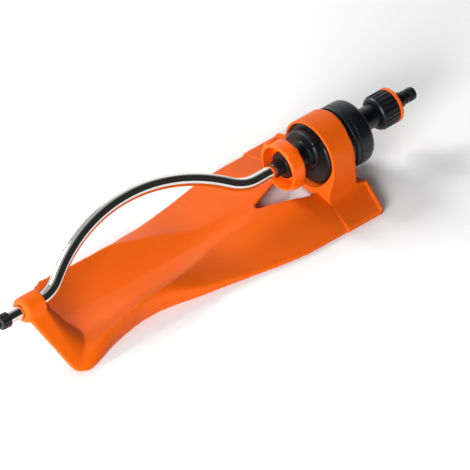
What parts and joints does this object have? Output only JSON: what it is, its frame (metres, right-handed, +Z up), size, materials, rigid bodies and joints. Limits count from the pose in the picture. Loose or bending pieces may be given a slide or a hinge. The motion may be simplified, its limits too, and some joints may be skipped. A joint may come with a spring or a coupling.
{
  "type": "oscillating sprinkler",
  "caption": "Lawn sprinkler on an orange moulded sled: an arched chrome spray tube swings between an end boss and a geared water motor with a hose inlet.",
  "frame": {"origin": "on the ground, below the swing axis, midway between the end plug and the hose nose", "axes": "+X along the swing axis towards the hose inlet, +Y the side the spray tube leans to at rest, +Z up"},
  "size_m": [0.532, 0.1534, 0.0868],
  "materials": {
    "orange_body": "fine moulded sheen",
    "orange_trim": "glossy moulded",
    "black_housing": "satin moulded",
    "polished_tube": "polished",
    "black_rubber": "matte",
    "gear_acetal": "smooth moulded",
    "bright_steel": "bright drawn"
  },
  "bodies": {
    "base": {"base_sled": "orange_body", "motor_bridge": "orange_body", "bridge_screws": "bright_steel", "tube_end_bush": "black_housing", "front_housing": "black_housing", "spindle_seal": "black_rubber", "main_arbor": "bright_steel", "lay_arbor": "bright_steel", "gear_plate": "black_housing", "jet_plate": "black_housing", "rear_cap": "black_housing", "housing_oring": "black_rubber", "inlet_filter": "gear_acetal", "hose_washer": "black_rubber", "hose_spigot": "black_housing", "spigot_oring": "black_rubber"},
    "spray_arm": {"spray_tube": "polished_tube", "end_plug": "black_housing", "cleaning_needle": "bright_steel", "plug_oring": "black_rubber", "output_spindle": "black_housing", "tube_oring": "black_rubber", "output_gear": "gear_acetal"},
    "ring": {"control_ring": "orange_trim"},
    "lay_front": {"lay_gear_front": "gear_acetal"},
    "main_wheel": {"main_gear": "gear_acetal"},
    "lay_rear": {"lay_gear_rear": "gear_acetal"},
    "turbine_wheel": {"turbine": "gear_acetal"},
    "valve": {"reversing_valve": "orange_trim"},
    "nut": {"inlet_nut": "black_housing", "nut_trim_ring": "orange_trim"}
  },
  "joints": [
    {"name": "tube_swing", "type": "hinge", "parent": "base", "child": "spray_arm", "pos_m": [0.095, 0, 0.047], "axis": [1, 0, 0], "range_deg": [-15, 105]},
    {"name": "ring_turn", "type": "hinge", "parent": "base", "child": "ring", "pos_m": [0.103, 0, 0.047], "axis": [1, 0, 0], "range_deg": [-45, 45]},
    {"name": "lay_front_spin", "type": "hinge", "parent": "base", "child": "lay_front", "pos_m": [0.142, 0, 0.0323], "axis": [1, 0, 0], "range_deg": [-262.5, 37.5]},
    {"name": "main_gear_spin", "type": "hinge", "parent": "base", "child": "main_wheel", "pos_m": [0.147, 0, 0.047], "axis": [1, 0, 0], "range_deg": [-93.75, 656.25]},
    {"name": "lay_rear_spin", "type": "hinge", "parent": "base", "child": "lay_rear", "pos_m": [0.152, 0, 0.0323], "axis": [1, 0, 0], "range_deg": [-1640.62, 234.38]},
    {"name": "turbine_spin", "type": "hinge", "parent": "base", "child": "turbine_wheel", "pos_m": [0.164, 0, 0.047], "axis": [1, 0, 0], "range_deg": [-585.94, 4101.56]},
    {"name": "valve_turn", "type": "hinge", "parent": "base", "child": "valve", "pos_m": [0.176, 0, 0.047], "axis": [1, 0, 0], "range_deg": [-12, 12]},
    {"name": "nut_turn", "type": "hinge", "parent": "base", "child": "nut", "pos_m": [0.224, 0, 0.047], "axis": [1, 0, 0], "continuous": true}
  ],
  "couplings": [
    {"joint": "lay_front_spin", "follows": "tube_swing", "ratio": -2.5},
    {"joint": "main_gear_spin", "follows": "tube_swing", "ratio": 6.25},
    {"joint": "lay_rear_spin", "follows": "tube_swing", "ratio": -15.625},
    {"joint": "turbine_spin", "follows": "tube_swing", "ratio": 39.062}
  ]
}
